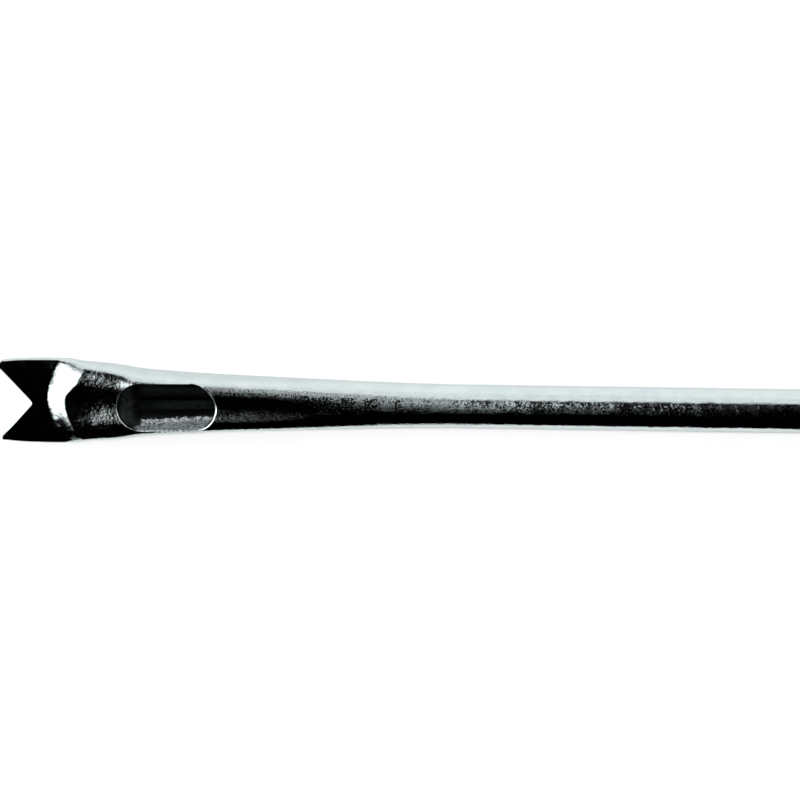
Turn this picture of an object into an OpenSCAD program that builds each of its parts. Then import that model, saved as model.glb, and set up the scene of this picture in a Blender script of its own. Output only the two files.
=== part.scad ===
// Fat injection cannula with a forked dissector tip and a female Luer-lock hub.
// X runs along the instrument, from the fork towards the hub, and the mouth of the hub is at x = 0.
// Z is square to the flat of the head, with the side port on top, and Y is the width of the fork.

/* [Shaft] */
// Outer diameter of the round tube
shaft_d = 3; // [2.4:0.1:3.6]
// Wall of the tube and of the pressed head
wall = 0.3; // [0.2:0.05:0.4]
// Length from the fork's points to the nose of the hub
working_length = 150; // [100:5:250]

/* [Head] */
// Length of the head, from the fork's points to the weld
head_length = 32.4; // [28:0.2:44]
// Width of the blade across the fork
blade_width = 6.04; // [5:0.04:7]
// Thickness of the blade, where the two walls are pressed together
blade_thickness = 0.66; // [0.56:0.02:0.9]
// Length of the flat blade along its sides
blade_length = 4.3; // [3.6:0.1:5]
// Length of the ramp from the blade up to the head, on the centre line
ramp_length = 1.2; // [0.8:0.1:1.6]
// How much nearer the points the ramp starts on the centre line
ramp_bulge = 1.1; // [0.3:0.05:1.2]
// How much longer the ramp is along its +Y side, as a share of its length
ramp_spread = 0.6; // [0:0.1:0.8]
// Depth of the shallow dish down the middle of both broad faces
dish_depth = 0.16; // [0.04:0.02:0.2]

/* [Notch] */
// Depth at which the two edges of the notch would meet
notch_depth = 2.17; // [1.4:0.01:2.6]
// Distance of the notch's root from the centre line, towards -Y
notch_offset = 0.1; // [0:0.02:0.3]
// Angle between the two edges of the notch
notch_angle = 98; // [80:1:104]
// Break of the notch's edges, on each face
edge_break = 0.06; // [0.02:0.02:0.12]
// Radius at the root of the notch
root_radius = 0.3; // [0.1:0.05:0.5]
// Radius that blunts the outer corner of the point on the +Y side
first_point_radius = 0.42; // [0.1:0.02:0.5]
// Radius that blunts the outer corner of the point on the -Y side
second_point_radius = 0.1; // [0.06:0.02:0.5]

/* [Port] */
// Length of the side port
port_length = 6.66; // [5:0.02:8]
// Width of the side port
port_width = 3.34; // [2.6:0.02:3.5]
// Distance from the points to the middle of the port
port_place = 11.38; // [10.6:0.02:12]
// Width of the flared lip round the port, at the top of the head
lip_width = 0.26; // [0.1:0.02:0.3]
// Depth of the flared lip below the top of the head
lip_depth = 0.46; // [0.3:0.02:0.6]
// Radius of the scoop that leads out of the front end of the port
scoop_radius = 1.4; // [1.2:0.1:2.2]

/* [Luer fitting] */
// Diameter of the socket at its mouth
luer_mouth_d = 4.3; // [4.27:0.005:4.315]
// Depth of the tapered socket
luer_depth = 8.5; // [7.5:0.1:9.5]
// Diameter across the two locking lugs
lug_d = 7.8; // [7.72:0.01:7.83]
// Width of each lug
lug_width = 4.6; // [3.6:0.1:5]
// Thickness of each lug
lug_thickness = 1.1; // [0.9:0.05:1.4]
// Diameter of the barrel that the locking collar passes over
barrel_d = 6.2; // [5.8:0.1:6.6]
// Length of the barrel, from the mouth to the shoulder
barrel_length = 7.6; // [6.6:0.1:9]

/* [Hub] */
// Length of the hub, from its mouth to its nose
hub_length = 27; // [26:0.5:34]
// Diameter of the shoulder that stops the grip
shoulder_d = 8; // [7.6:0.1:8.4]
// Thickness of the shoulder
shoulder_thickness = 1.2; // [0.9:0.1:1.8]
// Diameter of the stem inside the grip
stem_d = 6; // [5.6:0.1:6.6]
// Diameter of the nose at its front end
nose_d = 4.9; // [4.8:0.1:5.4]
// Length of the conical nose
nose_length = 5; // [3:0.5:6]

/* [Grip] */
// Outer diameter of the grip
grip_d = 9.2; // [8.8:0.1:11]
// Height across the two flats of the grip
grip_flat = 7.8; // [7.4:0.1:8.4]
// Number of flutes round the grip
flutes = 24; // [16:1:30]
// Width of each flute
flute_width = 0.7; // [0.4:0.05:0.9]
// Depth of each flute
flute_depth = 0.3; // [0.15:0.05:0.4]
// Length of the plain band at each end of the grip
band_length = 1.8; // [1:0.1:3]
// Chamfer at the ends of the grip and the shoulder
chamfer = 0.3; // [0.1:0.05:0.4]
// Diameter of the enamel dot
marker_d = 1.6; // [1:0.1:2.2]
// Depth of the enamel dot
marker_depth = 0.3; // [0.15:0.05:0.5]

/* [Sleeve and braze] */
// Outer diameter of the stiffening sleeve
sleeve_d = 3.9; // [3.8:0.05:4.3]
// Length of the sleeve in front of the hub
sleeve_reach = 7; // [4:0.5:16]
// Length of the sleeve inside the hub
sleeve_depth = 5; // [3:0.5:7]
// Size of the braze fillets
braze_size = 0.4; // [0.2:0.05:0.44]

/* [Fits] */
// Gap all round the tube, and round the plug, that the braze fills
braze_gap = 0.02; // [0.01:0.01:0.05]
// Gap all round between the grip and the stem it is pressed on
press_gap = 0.01; // [0.01:0.01:0.04]

/* [Hidden] */
$fn = 64;

// Overrun of every cut past the face that it opens.
cut = 0.5;
shaft_r = shaft_d / 2;
bore_r = shaft_r - wall;
tip_x = -(hub_length + working_length);
weld_x = tip_x + head_length;

// Radius taper of a Luer socket along its axis, 6 percent on the diameter.
luer_slope = 0.03;
luer_mouth_r = luer_mouth_d / 2;
luer_floor_r = luer_mouth_r - luer_slope * luer_depth;
barrel_r = barrel_d / 2;
stem_r = stem_d / 2;
shoulder_r = shoulder_d / 2;
nose_r = nose_d / 2;
sleeve_r = sleeve_d / 2;
grip_r = grip_d / 2;
stem_x = -(barrel_length + shoulder_thickness);
nose_x = -(hub_length - nose_length);
grip_length = stem_x - nose_x;
// The funnel joins the socket's floor to a hole as wide as the tube's bore, whose wall stops the tube.
funnel_length = 1;
stop_length = 0.6;
stop_r = bore_r;
seat_x = -(luer_depth + funnel_length + stop_length);
marker_x = stem_x - band_length / 2 - marker_d / 2;

// Sections of the head from the fork's points to the weld. Each row gives the place as a share of the
// head's length, the width as a share of the way from the shaft to the blade, the depth as a share of
// the way from the blade to the shaft, and how square the section is, from 0 round to 1 square.
SECTION_shares = [
    [0.000, 0.93, 0.32, 0.80],
    [0.045, 1.00, 0.34, 0.80],
    [0.145, 1.00, 0.39, 0.80],
    [0.180, 0.84, 0.48, 0.90],
    [0.240, 0.70, 0.69, 1.00],
    [0.300, 0.47, 0.86, 1.00],
    [0.360, 0.36, 0.92, 1.00],
    [0.460, 0.23, 0.94, 0.95],
    [0.640, 0.13, 0.97, 0.45],
    [0.800, 0.05, 0.99, 0.12],
    [0.950, 0.00, 1.00, 0.00],
    [1.000, 0.00, 1.00, 0.00]
];
PLACE = 0;
WIDTH = 1;
DEPTH = 2;
SQUARE = 3;
// Exponent that the squareness adds to the round section's exponent of 2.
square_gain = 2.6;
// Shares of the head's length over which the dish grows behind the ramp and fades out behind the port.
dish_start_share = 0.132;
dish_full_share = 0.215;
dish_fade_share = 0.44;
dish_end_share = 0.74;
// Share of the half width that the dish covers, and over which the ramp grows longer.
dish_width_share = 0.56;
// Share of the ramp's rise that is eased in and out, the rest being straight.
ramp_ease = 0.3;
outer_sides = 36;
inner_sides = 28;
blade_rings = 4;
ramp_rings = 16;
body_rings = 20;
inner_rings = 20;
plug_rings = 8;

function clamp01(u) = min(max(u, 0), 1);
function ease(u) = let (v = clamp01(u)) v * v * (3 - 2 * v);

// Row of the table that a place falls after, and the smooth curve through one column of the table.
function row_at(place, i = 0) =
    i >= len(SECTION_shares) - 2 || place < SECTION_shares[i + 1][PLACE] ? i : row_at(place, i + 1);
function slope_at(i, column) =
    i == 0 || i == len(SECTION_shares) - 1 ? 0 :
    (SECTION_shares[i + 1][column] - SECTION_shares[i - 1][column])
        / (SECTION_shares[i + 1][PLACE] - SECTION_shares[i - 1][PLACE]);
function share_at(place, column) =
    let (
        i = row_at(place),
        low = SECTION_shares[i],
        high = SECTION_shares[i + 1],
        run = high[PLACE] - low[PLACE],
        u = clamp01((place - low[PLACE]) / run)
    )
    (2 * pow(u, 3) - 3 * pow(u, 2) + 1) * low[column]
        + (pow(u, 3) - 2 * pow(u, 2) + u) * run * slope_at(i, column)
        + (3 * pow(u, 2) - 2 * pow(u, 3)) * high[column]
        + (pow(u, 3) - pow(u, 2)) * run * slope_at(i + 1, column);

// Half width and half depth of the head at a distance from the points, less an inset for the lumen.
function half_width(s, inset) =
    shaft_r + (blade_width / 2 - shaft_r) * share_at(s / head_length, WIDTH) - inset;
function ramp(s, across) =
    let (
        run = ramp_length * (1 + ramp_spread * ease(across / dish_width_share)),
        u = clamp01((s - blade_length + ramp_bulge * (1 - across * across)) / run)
    )
    (1 - ramp_ease) * u + ramp_ease * ease(u);
function dish(s, across) =
    dish_depth * pow(max(1 - pow(across / dish_width_share, 2), 0), 2)
        * ease((s / head_length - dish_start_share) / (dish_full_share - dish_start_share))
        * (1 - ease((s / head_length - dish_fade_share) / (dish_end_share - dish_fade_share)));
function half_depth(s, across, inset) =
    blade_thickness / 2 - inset
        + (shaft_r - blade_thickness / 2) * share_at(s / head_length, DEPTH) * ramp(s, across);

// One closed ring of the head, a rounded rectangle dished on both broad faces.
function section(s, sides, inset) = [
    for (k = [0 : sides - 1])
        let (
            angle = 360 * k / sides,
            power = 2 / (2 + square_gain * share_at(s / head_length, SQUARE)),
            across = sign(cos(angle)) * pow(abs(cos(angle)), power),
            up = sign(sin(angle)) * pow(abs(sin(angle)), power)
        )
        [tip_x + s, half_width(s, inset) * across,
            half_depth(s, across, inset) * up - dish(s, across) * sign(up)]
];

// Distances from the points at which the rings of the head and of its lumen stand.
ramp_start = blade_length - ramp_bulge;
ramp_end = blade_length + ramp_length * (1 + ramp_spread);
lumen_start = blade_length + ramp_length;
HEAD_PLACES = concat(
    [for (i = [0 : blade_rings - 1]) ramp_start * i / blade_rings],
    [for (i = [0 : ramp_rings - 1]) ramp_start + (ramp_end - ramp_start) * i / ramp_rings],
    [for (i = [0 : body_rings]) ramp_end + (head_length - ramp_end) * pow(i / body_rings, 1.4)]
);
function lumen_places(from, to, rings) = [for (i = [0 : rings]) from + (to - from) * pow(i / rings, 1.2)];

// Solid through a list of closed rings that follow each other along X.
module loft(rings) {
    sides = len(rings[0]);
    last = len(rings) - 1;
    walls = [
        for (i = [0 : last - 1], k = [0 : sides - 1])
            let (
                a = i * sides + k,
                b = i * sides + (k + 1) % sides
            )
            each [[a, b + sides, b], [a, a + sides, b + sides]]
    ];
    front = [for (k = [0 : sides - 1]) k];
    back = [for (k = [sides - 1 : -1 : 0]) last * sides + k];
    polyhedron([for (ring = rings) each ring], concat(walls, [front], [back]), convexity = 6);
}

// Turns a shape made along Z so that it runs along X.
module along_x() {
    rotate([0, 90, 0]) children();
}

module tube(outer_r, inner_r, from, to) {
    along_x() translate([0, 0, from]) difference() {
        cylinder(r = outer_r, h = to - from);
        translate([0, 0, -cut]) cylinder(r = inner_r, h = to - from + 2 * cut);
    }
}

// Slot with round ends, along X.
module slot(length, width) {
    square([length - width, width], center = true);
    for (side = [-1, 1])
        translate([side * (length - width) / 2, 0]) circle(d = width);
}

// Side port through the upper wall of the head, with its flared lip.
module port_cut() {
    top = shaft_r;
    translate([tip_x + port_place, 0, 0]) {
        linear_extrude(height = top + cut) slot(port_length, port_width);
        flare = lip_width * (lip_depth + cut) / lip_depth;
        translate([0, 0, top - lip_depth])
            linear_extrude(height = lip_depth + cut, slices = 1,
                scale = [1 + 2 * flare / port_length, 1 + 2 * flare / port_width])
                slot(port_length, port_width, $fn = 48);
    }
}

// Plan of the notch, widened on both edges by the given amount.
module notch_plan(widen) {
    half = notch_angle / 2;
    apex = notch_depth + widen / sin(half);
    reach = apex + cut;
    translate([0, -notch_offset]) offset(r = root_radius, $fn = 36) offset(delta = -root_radius)
        polygon([[apex, 0], [apex - reach, reach * tan(half)], [apex - reach, -reach * tan(half)]]);
}

// The notch, with its edges broken on each face.
module notch_cut() {
    deep = blade_thickness / 2;
    translate([tip_x, 0, 0]) {
        translate([0, 0, -deep - cut]) linear_extrude(height = 2 * (deep + cut)) notch_plan(0);
        for (face = [0, 1]) mirror([0, 0, face]) hull() {
            translate([0, 0, deep - edge_break]) linear_extrude(height = edge_break) notch_plan(0);
            translate([0, 0, deep]) linear_extrude(height = edge_break) notch_plan(edge_break);
        }
    }
}

// What the blunting takes off the outer corner of the point on the +Y side.
module corner_cut(radius) {
    translate([tip_x, half_width(radius, 0), 0])
        linear_extrude(height = shaft_d, center = true) difference() {
            translate([-radius, -radius]) square(2 * radius);
            translate([radius, -radius]) circle(r = radius);
            translate([0, -2 * radius]) square([2 * radius, radius]);
            translate([radius, -radius]) square(2 * radius);
        }
}

module fork_head() {
    color("lightsteelblue") difference() {
        loft([for (s = HEAD_PLACES) section(s, outer_sides, 0)]);
        loft([for (s = lumen_places(lumen_start, head_length + cut, inner_rings))
            section(s, inner_sides, wall)]);
        port_cut();
        notch_cut();
        corner_cut(first_point_radius);
        mirror([0, 1, 0]) corner_cut(second_point_radius);
    }
}

// Closes the lumen from the ramp to the port. Its rear face is scooped, so that fat turns out of the port.
module lumen_plug() {
    port_front = port_place - port_length / 2;
    roof = half_depth(port_front, 0, wall);
    color("gainsboro") difference() {
        loft([for (s = lumen_places(lumen_start + braze_gap, port_front + scoop_radius, plug_rings))
            section(s, inner_sides, wall + braze_gap)]);
        translate([tip_x + port_front + scoop_radius, 0, roof]) rotate([90, 0, 0])
            cylinder(r = scoop_radius, h = blade_width, center = true);
    }
}

module shaft_tube() {
    color("silver") tube(shaft_r, bore_r, weld_x, seat_x);
}

module nose_sleeve() {
    front_x = -hub_length - sleeve_reach;
    back_x = -hub_length + sleeve_depth;
    color("silver") along_x() rotate_extrude() polygon([
        [shaft_r + braze_gap, front_x],
        [sleeve_r - chamfer / 2, front_x],
        [sleeve_r, front_x + chamfer / 2],
        [sleeve_r, back_x],
        [shaft_r + braze_gap, back_x]
    ]);
}

// Concave fillet round a cylinder, against a face that looks along -X.
module braze_fillet(radius, x, size) {
    along_x() translate([0, 0, x]) rotate_extrude() translate([radius, 0]) difference() {
        translate([0, -size]) square(size);
        translate([size, -size]) circle(r = size);
    }
}

module braze_rings() {
    color("whitesmoke") {
        braze_fillet(shaft_r, -hub_length - sleeve_reach, min(braze_size, sleeve_r - shaft_r));
        braze_fillet(sleeve_r, -hub_length, min(braze_size, nose_r - sleeve_r));
    }
}

module hub_core() {
    pocket_r = shaft_r + braze_gap;
    sleeve_hole_r = sleeve_r + braze_gap;
    sleeve_floor_x = -hub_length + sleeve_depth;
    color("lightgray") along_x() {
        rotate_extrude() polygon([
            [luer_mouth_r, 0],
            [barrel_r, 0],
            [barrel_r, -barrel_length],
            [shoulder_r - chamfer, -barrel_length],
            [shoulder_r, -barrel_length - chamfer],
            [shoulder_r, stem_x],
            [stem_r, stem_x],
            [stem_r, nose_x],
            [nose_r, -hub_length],
            [sleeve_hole_r, -hub_length],
            [sleeve_hole_r, sleeve_floor_x],
            [pocket_r, sleeve_floor_x],
            [pocket_r, seat_x],
            [stop_r, seat_x],
            [stop_r, seat_x + stop_length],
            [luer_floor_r, -luer_depth]
        ]);
        // The two locking lugs, as far across as the collar's thread allows.
        translate([0, 0, -lug_thickness]) linear_extrude(height = lug_thickness) difference() {
            intersection() {
                circle(d = lug_d);
                square([lug_width, lug_d], center = true);
            }
            circle(r = (luer_mouth_r + barrel_r) / 2);
        }
    }
}

// Two flats, level with the flat of the fork.
module grip_flats() {
    for (side = [0, 1]) mirror([0, 0, side])
        translate([nose_x - cut, -grip_r, grip_flat / 2]) cube([grip_length + 2 * cut, grip_d, grip_r]);
}

// Flutes along the grip, between its two plain bands.
module grip_flutes() {
    flute_r = (flute_width * flute_width / 4 + flute_depth * flute_depth) / (2 * flute_depth);
    for (i = [0 : flutes - 1])
        rotate([360 * (i + 0.5) / flutes, 0, 0])
            translate([nose_x + band_length, 0, grip_r - flute_depth + flute_r])
                along_x() cylinder(r = flute_r, h = grip_length - 2 * band_length, $fn = 24);
}

module hub_grip() {
    hole_r = stem_r + press_gap;
    color("darkgray") difference() {
        along_x() rotate_extrude() polygon([
            [hole_r, stem_x],
            [grip_r - chamfer, stem_x],
            [grip_r, stem_x - chamfer],
            [grip_r, nose_x + chamfer],
            [grip_r - chamfer, nose_x],
            [hole_r, nose_x]
        ]);
        grip_flats();
        grip_flutes();
        translate([marker_x, 0, grip_flat / 2 - marker_depth])
            cylinder(d = marker_d, h = marker_depth + cut);
    }
}

module port_marker() {
    color("royalblue") translate([marker_x, 0, grip_flat / 2 - marker_depth])
        cylinder(d = marker_d - 2 * press_gap, h = marker_depth);
}

fork_head();
lumen_plug();
shaft_tube();
nose_sleeve();
braze_rings();
hub_core();
hub_grip();
port_marker();
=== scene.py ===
import math

import bmesh
import bpy
import numpy as np
from mathutils import Matrix, Vector


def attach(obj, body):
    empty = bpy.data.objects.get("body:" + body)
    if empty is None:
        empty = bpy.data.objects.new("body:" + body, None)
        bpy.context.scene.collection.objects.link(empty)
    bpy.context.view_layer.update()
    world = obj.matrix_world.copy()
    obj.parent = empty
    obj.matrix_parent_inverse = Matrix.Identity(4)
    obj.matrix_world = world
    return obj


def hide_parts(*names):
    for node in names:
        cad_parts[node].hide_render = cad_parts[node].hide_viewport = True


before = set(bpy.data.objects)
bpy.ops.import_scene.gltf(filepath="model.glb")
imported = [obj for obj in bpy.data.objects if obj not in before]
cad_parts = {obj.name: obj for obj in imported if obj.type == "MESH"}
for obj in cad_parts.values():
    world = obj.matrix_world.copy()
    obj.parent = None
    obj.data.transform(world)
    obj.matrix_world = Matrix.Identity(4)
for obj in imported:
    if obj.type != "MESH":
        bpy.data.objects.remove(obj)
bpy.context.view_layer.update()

# All sizes below are in millimetres and go to metres in mesh_from().
MM = 0.001
SHAFT_R = 1.5
WALL = 0.3
BORE_R = SHAFT_R - WALL

# The head, measured from the fork's points at TIP_X.
TIP_X = -177.0
HEAD_LENGTH = 32.4
WELD_X = TIP_X + HEAD_LENGTH
BLADE_WIDTH = 6.04
BLADE_THICKNESS = 0.66
BLADE_LENGTH = 4.3
SQUARENESS = 2.6
RAMP_LENGTH = 1.3
RAMP_BULGE = 1.1
RAMP_SHIFT = 0.08
RAMP_SPREAD = 0.5
RAMP_END = BLADE_LENGTH + RAMP_LENGTH * (1 + RAMP_SPREAD)
LUMEN_START = BLADE_LENGTH + 1.2
DISH_DEPTH = 0.16
DISH_SHARE = 0.56
NOTCH_DEPTH = 2.17
NOTCH_OFFSET = 0.10
NOTCH_ANGLE = math.radians(98)
EDGE_BREAK = 0.04
ROOT_RADIUS = 0.3
PORT_LENGTH = 6.66
PORT_WIDTH = 3.34
PORT_PLACE = 11.38
PORT_STRAIGHT = (PORT_LENGTH - PORT_WIDTH) / 2
SCOOP_RADIUS = 1.4

# Ridges outside the port's edge: height, direction and spread in degrees, and breadth. None is made
# farther from the port's middle than BEAD_REACH or lower on the head's side than BEAD_LIMIT.
REAR_BEAD = (0.10, 28, 34, 0.14)
FRONT_BEAD = (0.13, 100, 32, 0.46)
BEAD_REACH = 5
BEAD_LIMIT = 0.25

# Faint rings round the head and the tube: distance behind the tip, height and breadth.
GROOVE_BREADTH = 0.10
WELD_GROOVE = 0.005
ROLL_GROOVE = 0.002
HEAD_MARKS = (
    (29.35, 0.004, 0.12),
    (28.25, -0.003, GROOVE_BREADTH),
    (HEAD_LENGTH, -WELD_GROOVE, GROOVE_BREADTH),
)

# The hub, whose face is at the origin.
SOCKET_R = 2.15
SOCKET_END_R = 1.895
SOCKET_END_X = -8.5
BARREL_R = 3.1
COLLAR_X = -7.6
COLLAR_R = 4.0
STEM_X = -8.8
CORE_R = 3.0
SEAT_X = -10.1
SEAT_R = 1.52
NOSE_X = -22.0
HUB_X = -27.0
HUB_NOSE_R = 2.45
SLEEVE_X = -34.0
SLEEVE_R = 1.95
SLEEVE_SEAT_R = 1.97
FILLET = 0.4
GRIP_R = 4.6
FLAT_Z = 3.9
RECESS_Z = 3.6
MARKER_X = -10.5
MARKER_R = 0.79
LUG_R = 3.9
LUG_HALF_WIDTH = 2.3
LUG_ROOT = 2.5

# The photograph's view: how far it leans towards +Y, its roll, its centre and its width.
VIEW_TILT = math.radians(19)
VIEW_ROLL = math.radians(0.85)
VIEW_X = -149.64
VIEW_RAISE = 0.38
VIEW_WIDTH = 54.92
LENS = 100
SENSOR = 36
TOWARD_VIEWER = Vector((0, math.sin(VIEW_TILT), math.cos(VIEW_TILT)))

# Steps of each small arc, and the angle between faces from which their edge is sharp.
ARC_STEPS = 12
SHARP_ANGLE = math.radians(32)

# Sections of the head, as in the frame: place, then the columns WIDTH, DEPTH and SQUARE.
SECTIONS = np.array([
    [0.000, 0.93, 0.32, 0.80],
    [0.045, 1.00, 0.34, 0.80],
    [0.145, 1.00, 0.39, 0.80],
    [0.180, 0.84, 0.48, 0.90],
    [0.240, 0.70, 0.69, 1.00],
    [0.300, 0.47, 0.86, 1.00],
    [0.360, 0.36, 0.92, 1.00],
    [0.460, 0.23, 0.94, 0.95],
    [0.640, 0.13, 0.97, 0.45],
    [0.800, 0.05, 0.99, 0.12],
    [0.950, 0.00, 1.00, 0.00],
    [1.000, 0.00, 1.00, 0.00],
])
WIDTH = 1
DEPTH = 2
SQUARE = 3


def ease(u):
    v = np.clip(u, 0, 1)
    return v * v * (3 - 2 * v)


def bell(distance, breadth):
    """1 at no distance, and about 0 at twice the breadth."""
    return np.exp(-((distance / breadth) ** 2))


def share_at(place, column):
    """Smooth curve through one column of the table of sections."""
    places = SECTIONS[:, 0]
    values = SECTIONS[:, column]
    slopes = np.zeros(len(places))
    slopes[1:-1] = (values[2:] - values[:-2]) / (places[2:] - places[:-2])
    i = int(np.clip(np.searchsorted(places, place, side="right") - 1, 0, len(places) - 2))
    run = places[i + 1] - places[i]
    u = min(max((place - places[i]) / run, 0), 1)
    return (
        (2 * u**3 - 3 * u**2 + 1) * values[i]
        + (u**3 - 2 * u**2 + u) * run * slopes[i]
        + (3 * u**2 - 2 * u**3) * values[i + 1]
        + (u**3 - u**2) * run * slopes[i + 1]
    )


def corner_power(s):
    """Exponent of the section: 2 is an ellipse, and more is squarer."""
    return 2 + SQUARENESS * share_at(s / HEAD_LENGTH, SQUARE)


def half_width(s, inset):
    return SHAFT_R + (BLADE_WIDTH / 2 - SHAFT_R) * share_at(s / HEAD_LENGTH, WIDTH) - inset


def ramp(s, across):
    """How far the ramp has risen, from 0 on the blade to 1. It is longer on the +Y side.

    Across is -1 and 1 at the sides of the head.
    """
    run = RAMP_LENGTH * (1 + RAMP_SPREAD * ease((across - 0.12) / 0.45))
    u = np.clip((s - BLADE_LENGTH + RAMP_BULGE * (1 - (across - RAMP_SHIFT) ** 2)) / run, 0, 1)
    return 0.7 * u + 0.3 * ease(u)


def dish(s, across):
    """Depth of the shallow dish between the ramp and the port."""
    place = s / HEAD_LENGTH
    along = ease((place - 0.132) / 0.083) * (1 - ease((place - 0.44) / 0.30))
    return DISH_DEPTH * along * np.clip(1 - (across / DISH_SHARE) ** 2, 0, None) ** 2


def half_depth(s, across, inset):
    rise = (SHAFT_R - BLADE_THICKNESS / 2) * share_at(s / HEAD_LENGTH, DEPTH)
    return BLADE_THICKNESS / 2 - inset + rise * ramp(s, across)


def swage_marks(s):
    """Faint rings that the swaging and the weld leave round the rear of the head, as a radial offset."""
    return sum(height * bell(s - place, breadth) for place, height, breadth in HEAD_MARKS)


def port_bead(s, y):
    """Burnished ridge that the tool left outside the port, on its rear end and one front corner."""
    along = s - PORT_PLACE
    past = along - np.clip(along, -PORT_STRAIGHT, PORT_STRAIGHT)
    away = np.clip(np.hypot(past, y) - PORT_WIDTH / 2, 0, None)
    turn = np.degrees(np.arctan2(y, past + 1e-9))
    ridge = 0
    for bead, there in ((REAR_BEAD, past > 0), (FRONT_BEAD, past <= 0)):
        height, centre, spread, breadth = bead
        ridge = ridge + height * bell(turn - centre, spread) * there * bell(away, breadth)
    return ridge


def ring(s, quarter, inset):
    """One closed ring of the head at a distance behind the tip, evenly spaced along its outline.

    A quarter of the ring has that many steps, and the inset is its depth under the head's skin.
    """
    power = corner_power(s)
    angle = np.linspace(0, math.pi / 2, 400)
    a = np.cos(angle) ** (2 / power)
    u = np.sin(angle) ** (2 / power)
    wide = half_width(s, inset)
    y = wide * a
    z = half_depth(s, a, inset) * u
    steps = np.concatenate([[0], np.cumsum(np.hypot(np.diff(y), np.diff(z)))])
    at = np.linspace(0, steps[-1], quarter + 1)
    a = np.interp(at, steps, a)
    u = np.interp(at, steps, u)
    a[-1] = 0
    u[0] = 0
    y = wide * a
    sunk = dish(s, a) * np.where(u > 0, 1, 0)
    plus_side = half_depth(s, a, inset) * u - sunk
    minus_side = half_depth(s, -a, inset) * u - sunk
    plus_top = plus_side
    minus_top = minus_side
    grow = 0
    if inset == 0:
        grow = swage_marks(s) / SHAFT_R
        if abs(s - PORT_PLACE) < BEAD_REACH:
            plus_top = plus_side + np.where(plus_side > BEAD_LIMIT, 1, 0) * port_bead(s, y)
            minus_top = minus_side + np.where(minus_side > BEAD_LIMIT, 1, 0) * port_bead(s, -y)
    points = list(zip(y, plus_top))[:-1]
    points += list(zip(-y, minus_top))[:0:-1]
    points += list(zip(-y, -minus_side))[:-1]
    points += list(zip(y, -plus_side))[:0:-1]
    return [(TIP_X + s, p[0] * (1 + grow), p[1] * (1 + grow)) for p in points]


def surface_z(s, y):
    """Height of the head's upper face above its middle plane."""
    across = np.clip(y / half_width(s, 0), -0.9999, 0.9999)
    power = corner_power(s)
    up = (1 - abs(across) ** power) ** (1 / power)
    return float(half_depth(s, across, 0) * up - dish(s, across) + port_bead(s, y))


def mesh_from(name, vertices, faces):
    """Mesh in metres of vertices in millimetres, with its faces turned outwards."""
    mesh = bpy.data.meshes.new(name)
    mesh.from_pydata([[c * MM for c in v] for v in vertices], [], faces)
    mesh.validate()
    made = bmesh.new()
    made.from_mesh(mesh)
    bmesh.ops.recalc_face_normals(made, faces=made.faces)
    made.to_mesh(mesh)
    made.free()
    return mesh


def loft(name, rings):
    """Closed mesh through a list of rings that have the same number of points."""
    sides = len(rings[0])
    vertices = [p for one in rings for p in one]
    faces = []
    for i in range(len(rings) - 1):
        for k in range(sides):
            a = i * sides + k
            b = i * sides + (k + 1) % sides
            faces.append((a, b, b + sides, a + sides))
    faces.append(tuple(range(sides - 1, -1, -1)))
    faces.append(tuple((len(rings) - 1) * sides + k for k in range(sides)))
    return mesh_from(name, vertices, faces)


def circle(radius, count):
    """Evenly spaced points of a circle round the origin."""
    turns = [2 * math.pi * k / count for k in range(count)]
    return [(radius * math.cos(t), radius * math.sin(t)) for t in turns]


def revolve(name, profile, sides=192):
    """Closed mesh of a profile of (x, radius) points turned round the X axis."""
    vertices = [(x, y, z) for x, r in profile for y, z in circle(r, sides)]
    faces = []
    count = len(profile)
    for i in range(count):
        j = (i + 1) % count
        for k in range(sides):
            m = (k + 1) % sides
            faces.append((i * sides + k, i * sides + m, j * sides + m, j * sides + k))
    return mesh_from(name, vertices, faces)


def rounded(profile, steps):
    """Profile of (x, radius) points with its corners rounded, each by the third number it comes with."""
    out = []
    count = len(profile)
    for i in range(count):
        p = np.array(profile[i][:2], float)
        r = profile[i][2]
        before = np.array(profile[i - 1][:2], float) - p
        after = np.array(profile[(i + 1) % count][:2], float) - p
        la = np.linalg.norm(before)
        lb = np.linalg.norm(after)
        before = before / la
        after = after / lb
        angle = math.acos(max(-1, min(1, float(before @ after))))
        if r <= 0 or angle > math.radians(172):
            out.append(tuple(p))
            continue
        back = min(r / math.tan(angle / 2), 0.45 * la, 0.45 * lb)
        start = p + before * back
        end = p + after * back
        for k in range(steps + 1):
            t = k / steps
            out.append(tuple((1 - t) ** 2 * start + 2 * t * (1 - t) * p + t**2 * end))
    return out


def linked(name, data):
    """New object in the scene that shows the data."""
    made = bpy.data.objects.new(name, data)
    bpy.context.scene.collection.objects.link(made)
    return made


def combine(mesh, others, operation="DIFFERENCE"):
    """The mesh after each other mesh is cut from it, or joined to it."""
    target = linked(mesh.name, mesh)
    helpers = []
    for other in others:
        helper = linked(other.name, other)
        helpers.append(helper)
        change = target.modifiers.new("change", "BOOLEAN")
        change.operation = operation
        change.solver = "MANIFOLD"
        change.object = helper
    bpy.context.view_layer.update()
    graph = bpy.context.evaluated_depsgraph_get()
    result = bpy.data.meshes.new_from_object(target.evaluated_get(graph))
    for used in [target] + helpers:
        data = used.data
        bpy.data.objects.remove(used)
        bpy.data.meshes.remove(data)
    return result


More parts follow.
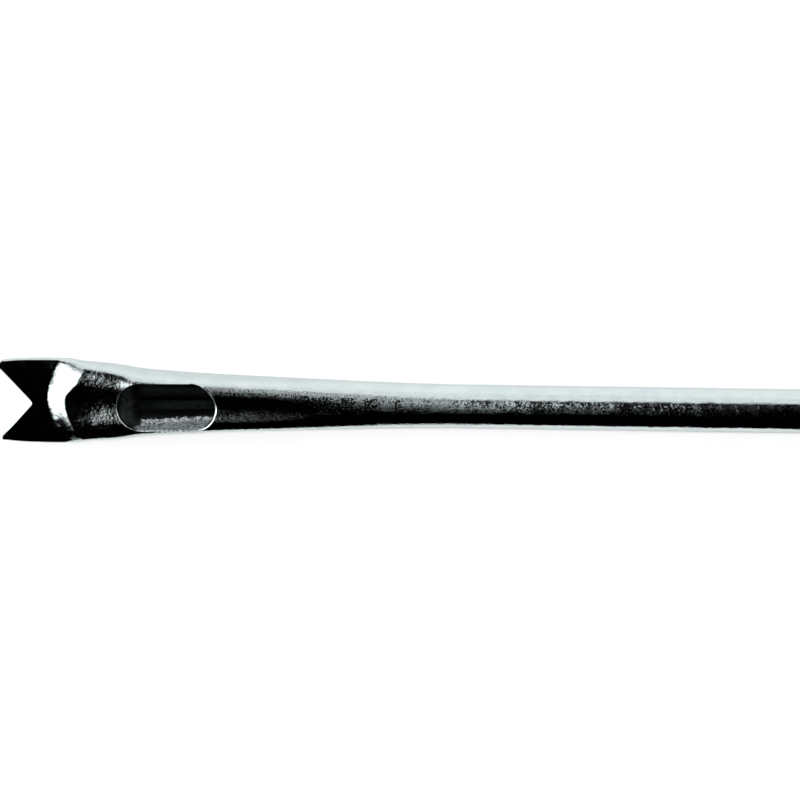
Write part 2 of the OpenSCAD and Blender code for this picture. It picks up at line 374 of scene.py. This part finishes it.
def make_object(name, mesh, node, slot_name, *materials):
    """The finished piece, which stands for the named node of the frame."""
    mesh.name = name
    mesh.polygons.foreach_set("use_smooth", [True] * len(mesh.polygons))
    mesh.set_sharp_from_angle(angle=SHARP_ANGLE)
    piece = linked(name, mesh)
    inside = [face.material_index for face in mesh.polygons]
    mesh.materials.clear()
    for material in materials:
        mesh.materials.append(material)
    mesh.polygons.foreach_set("material_index", [min(i, len(materials) - 1) for i in inside])
    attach(piece, "root")
    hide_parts(node)


def new_material(name):
    material = bpy.data.materials.new(name)
    material.use_nodes = True
    tree = material.node_tree
    return material, tree, tree.nodes["Principled BSDF"]


def add(tree, kind, **values):
    node = tree.nodes.new(kind)
    for key, value in values.items():
        setattr(node, key, value)
    return node


def calculated(tree, operation, *terms):
    """Result of a Math node. A term is a socket or a number."""
    node = add(tree, "ShaderNodeMath", operation=operation)
    for socket, term in zip(node.inputs, terms):
        if isinstance(term, (int, float)):
            socket.default_value = term
        else:
            tree.links.new(term, socket)
    return node.outputs["Value"]


def product(tree, first, *others):
    for other in others:
        first = calculated(tree, "MULTIPLY", first, other)
    return first


def total(tree, first, *others):
    for other in others:
        first = calculated(tree, "ADD", first, other)
    return first


def noise(tree, place, scale, detail, roughness=0.55):
    node = add(tree, "ShaderNodeTexNoise")
    node.inputs["Scale"].default_value = scale
    node.inputs["Detail"].default_value = detail
    node.inputs["Roughness"].default_value = roughness
    tree.links.new(place, node.inputs["Vector"])
    return node.outputs["Fac"]


def mapped(tree, value, low, high, to_low, to_high):
    """Smooth step from one number to another, while the value goes from low to high."""
    node = add(tree, "ShaderNodeMapRange")
    node.interpolation_type = "SMOOTHSTEP"
    node.inputs["From Min"].default_value = low
    node.inputs["From Max"].default_value = high
    node.inputs["To Min"].default_value = to_low
    node.inputs["To Max"].default_value = to_high
    tree.links.new(value, node.inputs["Value"])
    return node.outputs["Result"]


def mixed(tree, factor, first, second):
    """Colour between two, of which each is a socket or three numbers."""
    node = add(tree, "ShaderNodeMix", data_type="RGBA")
    tree.links.new(factor, node.inputs["Factor"])
    for key, colour in (("A", first), ("B", second)):
        if isinstance(colour, tuple):
            node.inputs[key].default_value = (*colour, 1)
        else:
            tree.links.new(colour, node.inputs[key])
    return node.outputs["Result"]


def bumped(tree, height, depth, normal=None):
    """Normal of a surface whose bumps have that depth, on top of another normal if there is one."""
    node = add(tree, "ShaderNodeBump")
    node.inputs["Distance"].default_value = depth * MM
    tree.links.new(height, node.inputs["Height"])
    if normal is not None:
        tree.links.new(normal, node.inputs["Normal"])
    return node.outputs["Normal"]


def place_in_mm(tree, stretch=(1, 1, 1)):
    """Position on the part in millimetres, divided by the stretch of the grain along each axis."""
    coordinates = add(tree, "ShaderNodeTexCoord")
    mapping = add(tree, "ShaderNodeMapping")
    mapping.inputs["Scale"].default_value = [1 / MM / k for k in stretch]
    tree.links.new(coordinates.outputs["Object"], mapping.inputs["Vector"])
    return mapping.outputs["Vector"]


def axes_of(tree, place):
    split = add(tree, "ShaderNodeSeparateXYZ")
    tree.links.new(place, split.inputs["Vector"])
    return split.outputs["X"], split.outputs["Y"], split.outputs["Z"]


# Places along X where the wear of the head and the shaft changes.
BLAST_START = (-173.0, -172.0)
BLAST_FADE = (-164, -158)
SHAFT_SMOOTH = (-150, -138)
STAIN_START = (-163.5, -161.5)
STAIN_END = (-106, -118)
STAIN_WIDENS = (-162, -148)
STAIN = (0.02, 0.025, 0.025)


def worn_height(tree, even, fine):
    """Height of the grain: coarse and blotched on the blasted head, weaker on the blade and the shaft."""
    x = axes_of(tree, even)[0]
    front = mapped(tree, x, *BLAST_START, 0, 1)
    rear = mapped(tree, x, *BLAST_FADE, 0.6, 0.3)
    blotch = mapped(tree, noise(tree, even, 1.3, 2), 0.35, 0.65, 0.5, 1.3)
    coarse = product(tree, noise(tree, even, 7, 2, 0.6), product(tree, front, rear, blotch))
    blade = mapped(tree, x, *BLAST_START, 0.3, 1)
    shaft = mapped(tree, x, *SHAFT_SMOOTH, 1, 0.4)
    return total(tree, product(tree, fine, product(tree, blade, shaft)), coarse)


def stained(tree, even, colour):
    """Colour with fine dark specks along the top, on a band that is narrower behind the port."""
    x, y, z = axes_of(tree, even)
    outer = total(tree, y, mapped(tree, x, *STAIN_WIDENS, -0.36, 0))
    across = product(tree, mapped(tree, outer, 0.92, 0.78, 0, 1), mapped(tree, y, -0.7, -0.45, 0, 1))
    top = product(tree, across, mapped(tree, z, 0, 0.2, 0, 1))
    behind = product(tree, mapped(tree, x, *STAIN_START, 0, 1), mapped(tree, x, *STAIN_END, 0, 1))
    patches = noise(tree, even, 0.9, 3, 0.6)
    spots = calculated(tree, "MULTIPLY_ADD", patches, 0.7, noise(tree, even, 8.3, 2, 0.6))
    specks = mapped(tree, spots, 0.87, 0.81, 0, 0.97)
    return mixed(tree, product(tree, specks, product(tree, top, behind)), colour, STAIN)


def steel(name, pale, dark, rough, grain, wave, stretch=(1, 1, 1), edge=1, worn=False):
    """Steel whose colour varies a little, with fine grain and slow waves in its polish.

    Rough gives its lowest and highest roughness, and edge how bright it mirrors at a flat angle. Worn
    steel also has the head's blasted zone and the specks along the top.
    """
    material, tree, shader = new_material(name)
    place = place_in_mm(tree, stretch)
    even = place_in_mm(tree)
    colour = mixed(tree, mapped(tree, noise(tree, even, 0.9, 5), 0.35, 0.65, 0, 1), pale, dark)
    height = noise(tree, place, 7, 3, 0.6)
    if worn:
        colour = stained(tree, even, colour)
        height = worn_height(tree, even, height)
    slow = bumped(tree, noise(tree, place, 0.8, 3), wave)
    shader.inputs["Metallic"].default_value = 1
    shader.inputs["Specular Tint"].default_value = (edge, edge, edge, 1)
    tree.links.new(colour, shader.inputs["Base Color"])
    tree.links.new(mapped(tree, noise(tree, place, 2.4, 4), 0.3, 0.7, *rough), shader.inputs["Roughness"])
    tree.links.new(bumped(tree, height, grain, slow), shader.inputs["Normal"])
    return material


def bore_painted_shade(name):
    """Wall of the lumen, painted nearly black as shade, and paler and rougher in a band on its -Y side
    where light reaches it.
    """
    material, tree, shader = new_material(name)
    even = place_in_mm(tree)
    x, y = axes_of(tree, even)[:2]
    slope = 0.06
    edge_x = -167.4
    edge_y = -1.60
    jagged = 0.6
    edge = edge_y - slope * edge_x + jagged / 2
    leaning = calculated(tree, "MULTIPLY_ADD", x, -slope, y)
    uneven = calculated(tree, "MULTIPLY_ADD", noise(tree, even, 3, 4, 0.7), jagged, leaning)
    lit_band = mapped(tree, uneven, edge + 0.06, edge - 0.10, 0, 1)
    specks = mapped(tree, noise(tree, even, 7, 2, 0.6), 0.42, 0.56, 0.12, 1)
    # Painted shade and light: nearly black where the lumen is in shade, pale where light reaches its -Y
    # wall.
    colour = mixed(tree, product(tree, lit_band, specks), (0.03, 0.034, 0.035), (0.60, 0.66, 0.665))
    height = product(tree, noise(tree, even, 6, 3, 0.6), mapped(tree, lit_band, 0, 1, 0.15, 1))
    tree.links.new(colour, shader.inputs["Base Color"])
    tree.links.new(mapped(tree, lit_band, 0, 1, 1, 0.1), shader.inputs["Metallic"])
    tree.links.new(mapped(tree, lit_band, 0, 1, 0.16, 0.5), shader.inputs["Roughness"])
    tree.links.new(bumped(tree, height, 0.05), shader.inputs["Normal"])
    return material


def enamel(name, pale, dark):
    """Glossy enamel whose colour and gloss vary a little."""
    material, tree, shader = new_material(name)
    place = place_in_mm(tree)
    colour = mixed(tree, mapped(tree, noise(tree, place, 3, 3), 0.3, 0.7, 0, 1), pale, dark)
    tree.links.new(colour, shader.inputs["Base Color"])
    rough = mapped(tree, noise(tree, place, 6, 2), 0.3, 0.7, 0.18, 0.3)
    tree.links.new(rough, shader.inputs["Roughness"])
    tree.links.new(bumped(tree, noise(tree, place, 2, 2), 0.02), shader.inputs["Normal"])
    return material


satin = steel(
    "satin_steel", pale=(0.665, 0.74, 0.745), dark=(0.61, 0.69, 0.695), rough=(0.06, 0.11),
    grain=0.018, wave=0.04, stretch=(1.6, 1, 1), edge=0.7, worn=True,
)
bore = bore_painted_shade("bore_painted_shade")
polished = steel(
    "polished_steel", pale=(0.70, 0.735, 0.74), dark=(0.64, 0.675, 0.68), rough=(0.10, 0.18),
    grain=0.0015, wave=0.006,
)
braze = steel(
    "silver_braze", pale=(0.60, 0.60, 0.57), dark=(0.44, 0.44, 0.42), rough=(0.20, 0.34),
    grain=0.012, wave=0.04,
)
# Braze of the plug inside the head, its colour darkened as painted shade of the lumen.
shaded_plug_braze = steel(
    "plug_braze_painted_shade", pale=(0.12, 0.13, 0.13), dark=(0.05, 0.055, 0.055), rough=(0.16, 0.26),
    grain=0.03, wave=0.04,
)
blue = enamel("blue_enamel", (0.02, 0.10, 0.42), (0.015, 0.08, 0.34))


def port_outline():
    """Points of the port's outline, each with its outward direction, on the middle plane."""
    radius = PORT_WIDTH / 2
    points = []
    for c, s in circle(1, 160):
        side = 1 if c >= 0 else -1
        points.append((side * PORT_STRAIGHT + radius * c, radius * s, c, s))
    return points


def port_cutter():
    """Slot with round ends whose edge follows the head's upper face and rounds over into it.

    The rounding is as wide as the flare and as deep as the drop, which both grow towards the rear.
    """
    outline = port_outline()
    flare = [0.11 + 0.13 * max(c, 0) ** 2 for x, y, c, s in outline]
    drop = [0.16 + 0.16 * max(c, 0) ** 2 for x, y, c, s in outline]
    top = [
        surface_z(PORT_PLACE + x + w * c, y + w * s)
        for (x, y, c, s), w in zip(outline, flare)
    ]

    def level(out, heights):
        return [
            (TIP_X + PORT_PLACE + x + w * out * c, y + w * out * s, z)
            for (x, y, c, s), w, z in zip(outline, flare, heights)
        ]

    rings = [level(0, [0] * len(outline))]
    for t in np.linspace(0, 0.96, 12):
        rings.append(level(1 - math.sqrt(1 - t * t), [z - h * (1 - t) for z, h in zip(top, drop)]))
    rings.append(level(1.25, [z + 0.6 for z in top]))
    return loft("port_cutter", rings)


def notch_outline(widen):
    """Outline of the notch, from beyond one point round its root to beyond the other."""
    half = NOTCH_ANGLE / 2
    reach = 6
    root = widen / math.sin(half)
    centre = root - ROOT_RADIUS / math.sin(half)
    points = [(root - reach * math.cos(half), reach * math.sin(half))]
    for k in range(ARC_STEPS + 1):
        t = (math.pi / 2 - half) * (1 - 2 * k / ARC_STEPS)
        points.append((centre + ROOT_RADIUS * math.cos(t), ROOT_RADIUS * math.sin(t)))
    points.append((root - reach * math.cos(half), -reach * math.sin(half)))
    return [(NOTCH_DEPTH + p[0], p[1] - NOTCH_OFFSET) for p in points]


def notch_cutter():
    """Notch through the blade, which widens outwards where the edges are broken."""
    deep = BLADE_THICKNESS / 2 - EDGE_BREAK
    spare = 0.3
    rings = []
    for z in (-(deep + spare), -deep, deep, deep + spare):
        widen = max(abs(z) - deep, 0)
        rings.append([(TIP_X + p[0], p[1], z) for p in notch_outline(widen)])
    return loft("notch_cutter", rings)


def corner_cutter(side, radius):
    """What the blunting takes off the outer corner of one point."""
    y = side * half_width(radius, 0)
    spare = 0.6
    points = [(-spare, y + side * spare), (-spare, y - side * radius)]
    for k in range(ARC_STEPS + 1):
        t = math.pi / 2 * k / ARC_STEPS
        points.append((radius - radius * math.cos(t), y - side * radius + side * radius * math.sin(t)))
    points.append((radius, y + side * spare))
    return loft("corner_cutter", [[(TIP_X + p[0], p[1], z) for p in points] for z in (-1.2, 1.2)])


def head_places():
    """Distances behind the tip at which the head has a ring, close together where its shape turns."""
    weld_edge = HEAD_LENGTH - 0.2
    places = []
    for start, end, count in (
        (0, BLADE_LENGTH - RAMP_BULGE, 24),
        (BLADE_LENGTH - RAMP_BULGE, RAMP_END, 64),
        (RAMP_END, 16.5, 160),
        (16.5, 28.0, 70),
        (28.0, 29.7, 56),
        (29.7, weld_edge, 16),
    ):
        places += list(np.linspace(start, end, count, endpoint=False))
    return places + list(np.linspace(weld_edge, HEAD_LENGTH, 12))


def mark_inside(mesh, low, high):
    """Gives the walls of the lumen between two places the second material."""
    for face in mesh.polygons:
        x, y, z = (c / MM for c in face.center)
        inwards = face.normal.y * y + face.normal.z * z < -0.2
        face.material_index = 1 if inwards and low < x < high else 0


def build_head():
    outer = loft("head_outer", [ring(s, 56, 0) for s in head_places()])
    inner_length = HEAD_LENGTH + 0.5 - LUMEN_START
    inner_places = LUMEN_START + inner_length * np.linspace(0, 1, 70) ** 1.2
    inner = loft("head_inner", [ring(s, 30, WALL) for s in inner_places])
    cutters = [inner, port_cutter(), notch_cutter(), corner_cutter(1, 0.42), corner_cutter(-1, 0.08)]
    mesh = combine(outer, cutters)
    mark_inside(mesh, TIP_X + LUMEN_START - 0.1, WELD_X - 0.01)
    return mesh


def build_plug():
    gap = 0.02
    front = PORT_PLACE - PORT_LENGTH / 2
    roof = float(half_depth(front, 0, WALL))
    places = np.linspace(LUMEN_START + gap, front + SCOOP_RADIUS, 40)
    body = loft("plug_body", [ring(s, 30, WALL + gap) for s in places])
    x = TIP_X + front + SCOOP_RADIUS
    turned = [[(x + a, y, roof + b) for a, b in circle(SCOOP_RADIUS, 96)] for y in (-3.2, 3.2)]
    return combine(body, [loft("scoop", turned)])


def build_tube():
    outer = []
    for x, depth, offsets in (
        (WELD_X, WELD_GROOVE, np.linspace(0, 0.3, 9)),
        (WELD_X + 1.65, ROLL_GROOVE, np.linspace(-0.3, 0.3, 17)),
    ):
        outer += [(x + d, SHAFT_R - depth * bell(d, GROOVE_BREADTH)) for d in offsets]
    outer += [(x, SHAFT_R) for x in np.linspace(WELD_X + 3, SEAT_X, 60)]
    return revolve("tube", outer + [(SEAT_X, BORE_R), (WELD_X, BORE_R)], 160)


def build_sleeve():
    profile = [
        (SLEEVE_X, SEAT_R, 0.02), (SLEEVE_X, SLEEVE_R - 0.075, 0), (SLEEVE_X + 0.15, SLEEVE_R, 0.08),
        (NOSE_X, SLEEVE_R, 0.02), (NOSE_X, SEAT_R, 0.02),
    ]
    return revolve("sleeve", rounded(profile, 4))


def fillet_ring(x, r):
    """Concave fillet round a cylinder, against a face that looks along -X."""
    profile = [(x, r)]
    for k in range(ARC_STEPS + 1):
        t = math.pi / 2 * k / ARC_STEPS
        profile.append((x - FILLET + FILLET * math.sin(t), r + FILLET - FILLET * math.cos(t)))
    return revolve("fillet", profile)


def build_braze():
    return combine(fillet_ring(SLEEVE_X, SHAFT_R), [fillet_ring(HUB_X, SLEEVE_R)], "UNION")


def build_lug(side):
    """One of the two lugs of the Luer lock, with both its rims slightly rounded."""
    outline = [(side * LUG_ROOT, LUG_HALF_WIDTH)]
    limit = math.asin(LUG_HALF_WIDTH / LUG_R)
    for k in range(17):
        t = limit * (1 - 2 * k / 16)
        outline.append((side * LUG_R * math.cos(t), LUG_R * math.sin(t)))
    outline.append((side * LUG_ROOT, -LUG_HALF_WIDTH))
    middle = side * 3.2
    rings = []
    for x, shrink in ((-1.1, 0.08), (-1.06, 0.03), (-1.0, 0.0), (-0.1, 0.0), (-0.04, 0.03), (0.0, 0.08)):
        one = []
        for y, z in outline:
            scale = 1 - shrink / math.hypot(y - middle, z)
            one.append((x, middle + (y - middle) * scale, z * scale))
        rings.append(one)
    return loft("lug", rings)


def build_core():
    chamfer = 0.3
    profile = [
        (0, SOCKET_R, 0.08), (0, BARREL_R, 0.15), (COLLAR_X, BARREL_R, 0.2),
        (COLLAR_X, COLLAR_R - chamfer, 0.06), (COLLAR_X - chamfer, COLLAR_R, 0.08),
        (STEM_X, COLLAR_R, 0.05), (STEM_X, CORE_R, 0), (NOSE_X, CORE_R, 0.1),
        (HUB_X, HUB_NOSE_R, 0.1), (HUB_X, SLEEVE_SEAT_R, 0.03), (NOSE_X, SLEEVE_SEAT_R, 0),
        (NOSE_X, SEAT_R, 0), (SEAT_X, SEAT_R, 0), (SEAT_X, BORE_R, 0),
        (SOCKET_END_X - 1, BORE_R, 0.15), (SOCKET_END_X, SOCKET_END_R, 0.1),
    ]
    body = revolve("core", rounded(profile, 5))
    return combine(body, [build_lug(1), build_lug(-1)], "UNION")


def marker_ring(radius, z):
    return [(MARKER_X + x, y, z) for x, y in circle(radius, 64)]


def build_grip():
    """Grip ring with flutes that run out before its chamfered ends, two flats and the dot's recess."""
    flutes = 24
    steps = 20
    depth = 0.3
    width = 0.7
    start = 1.8
    run = 0.4
    chamfer = 0.3
    flat_break = 0.12
    cutter_r = (width * width / 4 + depth * depth) / (2 * depth)
    length = STEM_X - NOSE_X
    ends = (
        0, 0.04, 0.1, 0.17, 0.24, 0.3, 0.36, 0.6, 1.0,
        1.5, 1.72, 1.78, 1.84, 1.9, 2.0, 2.1, 2.2, 2.35,
    )
    middle = list(np.linspace(2.6, length - 2.6, 30))
    stations = list(ends) + middle + [length - d for d in reversed(ends)]
    rings = []
    for d in stations:
        end = min(d, length - d)
        chamfered = GRIP_R - max(chamfer - end, 0)
        flat = FLAT_Z - max(flat_break - end, 0)
        cut = depth * float(ease((end - start) / run))
        one = []
        for k, (c, s) in enumerate(circle(1, flutes * steps)):
            turn = (k % steps) / steps - 0.5
            offset = turn * 2 * math.pi * GRIP_R / flutes
            groove = 0
            if abs(offset) < width / 2:
                groove = math.sqrt(cutter_r**2 - offset**2) - (cutter_r - depth)
            r = min(GRIP_R - groove * cut / depth, chamfered)
            if abs(s) > 0.5:
                r = min(r, flat / abs(s))
            one.append((NOSE_X + d, r * c, r * s))
        rings.append(one)
    hole = [[(x, y, z) for y, z in circle(CORE_R + 0.01, 160)] for x in (NOSE_X - 1, STEM_X + 1)]
    recess = [marker_ring(MARKER_R + 0.01, z) for z in (RECESS_Z, 4.4)]
    return combine(loft("grip_body", rings), [loft("grip_hole", hole), loft("recess", recess)])


def build_marker():
    """Enamel dot with a rounded rim and a slightly sunken face, flush with the flat."""
    levels = (
        (MARKER_R, RECESS_Z), (MARKER_R, 3.88), (0.77, FLAT_Z), (0.70, 3.895),
        (0.5, 3.885), (0.25, 3.88), (0.02, 3.878),
    )
    return loft("marker", [marker_ring(r, z) for r, z in levels])


make_object("fork_head_skin", build_head(), "fork_head", "satin_steel", satin, bore)
make_object("lumen_plug_skin", build_plug(), "lumen_plug", "silver_braze", shaded_plug_braze)
make_object("shaft_tube_skin", build_tube(), "shaft_tube", "satin_steel", satin)
make_object("nose_sleeve_skin", build_sleeve(), "nose_sleeve", "polished_steel", polished)
make_object("braze_rings_skin", build_braze(), "braze_rings", "silver_braze", braze)
make_object("hub_core_skin", build_core(), "hub_core", "polished_steel", polished)
make_object("hub_grip_skin", build_grip(), "hub_grip", "polished_steel", polished)
make_object("port_marker_skin", build_marker(), "port_marker", "enamel", blue)


def make_floor():
    """Pale floor that touches the grip's lower flat and the underside of the head."""
    slope = -0.01756
    size = 5000
    height = -3.93
    corners = [(-size, -size), (size, -size), (size, size), (-size, size)]
    vertices = [(x, y, height + (x - NOSE_X) * slope) for x, y in corners]
    mesh = mesh_from("floor", vertices, [(0, 1, 2, 3)])
    floor = linked("floor", mesh)
    material, tree, shader = new_material("floor_white")
    shader.inputs["Base Color"].default_value = (0.9, 0.9, 0.9, 1)
    shader.inputs["Roughness"].default_value = 1
    shader.inputs["Specular IOR Level"].default_value = 0
    mesh.materials.append(material)


make_floor()


def make_world():
    """A dark studio with a wide white screen on the +Y side and dim panels overhead.

    Lights beyond the tip and towards the hub are for the ramp and for the rounded edges.
    """
    world = bpy.data.worlds.new("studio")
    bpy.context.scene.world = world
    world.use_nodes = True
    tree = world.node_tree
    background = tree.nodes["Background"]
    direction = add(tree, "ShaderNodeTexCoord").outputs["Generated"]

    def along(vector):
        node = add(tree, "ShaderNodeVectorMath", operation="DOT_PRODUCT")
        node.inputs[1].default_value = Vector(vector).normalized()
        tree.links.new(direction, node.inputs[0])
        return node.outputs["Value"]

    def beyond(degrees, soft, lean=0):
        """1 past the plane at that angle from straight up towards +Y, which leans over towards +X."""
        t = math.radians(degrees)
        return mapped(tree, along((lean, math.cos(t), -math.sin(t))), -soft, soft, 0, 1)

    def between(first, second):
        return calculated(tree, "SUBTRACT", first, second)

    across = along((1, 0, 0))

    def panel(near, far, end, strong, weak):
        """Light between two planes, which falls from strong to weak towards +X."""
        return product(tree, between(near, far), mapped(tree, across, 0.04, end, strong, weak))

    screen = beyond(52, 0.08, -0.55)
    nearby = mapped(tree, across, -0.085, -0.035, 0, 1)
    low = panel(beyond(-11, 0.05, 0.4), beyond(28, 0.04), 0.075, 0.16, 0.001)
    middle = panel(beyond(8, 0.06), beyond(28, 0.04), 0.075, 0.46, 0.002)
    high = panel(beyond(28, 0.04), beyond(47, 0.04), 0.085, 1.1, 0.02)
    high = product(tree, high, mapped(tree, across, -0.09, 0.01, 0.15, 1))
    overhead = product(tree, total(tree, low, middle, high), nearby)
    ahead = product(
        tree,
        mapped(tree, across, -0.40, -0.45, 0, 1.8),
        mapped(tree, along((-1, 0.436, 0)), 0.36, 0.42, 0, 1),
        between(beyond(-44, 0.05), beyond(20, 0.06)),
    )
    far_ahead = mapped(tree, across, -0.80, -0.88, 0, 1.5)
    hubward = mapped(tree, along((0.72, 0.32, 0.62)), 0.90, 0.97, 0, 1.6)
    light = total(tree, screen, overhead, ahead, far_ahead, hubward)
    tree.links.new(light, background.inputs["Color"])
    background.inputs["Strength"].default_value = 1


make_world()


def make_lamp():
    """Broad lamp from the camera's side, which lights the floor and leaves no spot on the steel."""
    lamp = bpy.data.lights.new("overhead", "SUN")
    lamp.energy = 2.3
    lamp.angle = math.radians(8)
    made = linked("overhead", lamp)
    made.rotation_euler = TOWARD_VIEWER.to_track_quat("Z", "Y").to_euler()
    made.visible_glossy = False


make_lamp()


def make_camera():
    """Long lens at the photograph's angle, rolled so that the shaft leans as it does there."""
    camera = bpy.data.cameras.new("camera")
    camera.lens = LENS
    camera.sensor_width = SENSOR
    camera.clip_start = 0.01
    camera.clip_end = 50
    made = linked("camera", camera)
    level_up = Vector((0, math.cos(VIEW_TILT), -math.sin(VIEW_TILT)))
    level_right = Vector((1, 0, 0))
    right = level_right * math.cos(VIEW_ROLL) + level_up * math.sin(VIEW_ROLL)
    up = level_up * math.cos(VIEW_ROLL) - level_right * math.sin(VIEW_ROLL)
    target = Vector((VIEW_X, 0, 0)) + VIEW_RAISE * level_up
    place = target + TOWARD_VIEWER * (VIEW_WIDTH * LENS / SENSOR)
    made.matrix_world = Matrix((
        (right.x, up.x, TOWARD_VIEWER.x, place.x * MM),
        (right.y, up.y, TOWARD_VIEWER.y, place.y * MM),
        (right.z, up.z, TOWARD_VIEWER.z, place.z * MM),
        (0, 0, 0, 1),
    ))
    bpy.context.scene.camera = made


make_camera()

bpy.context.scene.view_settings.view_transform = "Standard"
